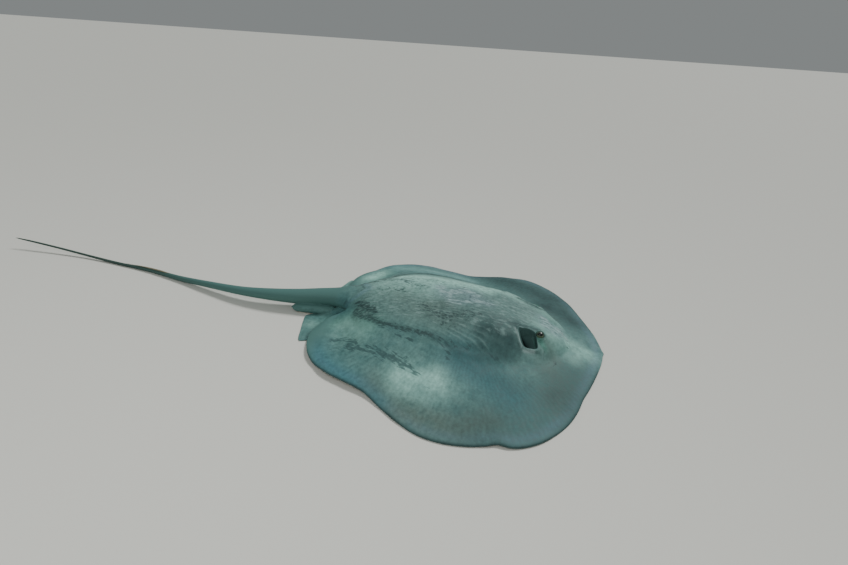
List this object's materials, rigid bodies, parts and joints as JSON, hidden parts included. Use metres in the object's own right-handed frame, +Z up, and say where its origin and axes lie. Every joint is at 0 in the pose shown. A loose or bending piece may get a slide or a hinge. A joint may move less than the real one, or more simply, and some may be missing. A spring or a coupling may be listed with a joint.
{
  "type": "whiptail stingray",
  "caption": "A still, life-size whiptail stingray resting flat on the sea floor, its wings spread and its long barbed tail laid out behind",
  "frame": {"origin": "on the floor, at the flat underside of the trunk, on the midline 550 mm behind the snout tip", "axes": "+Y runs from the head to the tail, +Z is up, +X is the animal's left side"},
  "size_m": [1.0723, 2.684, 0.1477],
  "materials": {
    "skin": "smooth wet slate-grey skin, cream below",
    "dark_skin": "darker skin of the tail and claspers",
    "eye": "glossy dark eye with a brass-green iris",
    "horn": "ivory-brown barbed spine"
  },
  "bodies": {
    "root": {"head": "skin", "trunk": "skin", "pectoral_fin_left": "skin", "pectoral_fin_right": "skin", "pelvic_fin_left": "skin", "pelvic_fin_right": "skin", "clasper_left": "dark_skin", "clasper_right": "dark_skin", "eye_left": "eye", "eye_right": "eye", "tail_base": "skin", "tail_middle": "skin", "tail_whip": "dark_skin", "tail_tip": "dark_skin", "sting": "horn"}
  },
  "joints": []
}
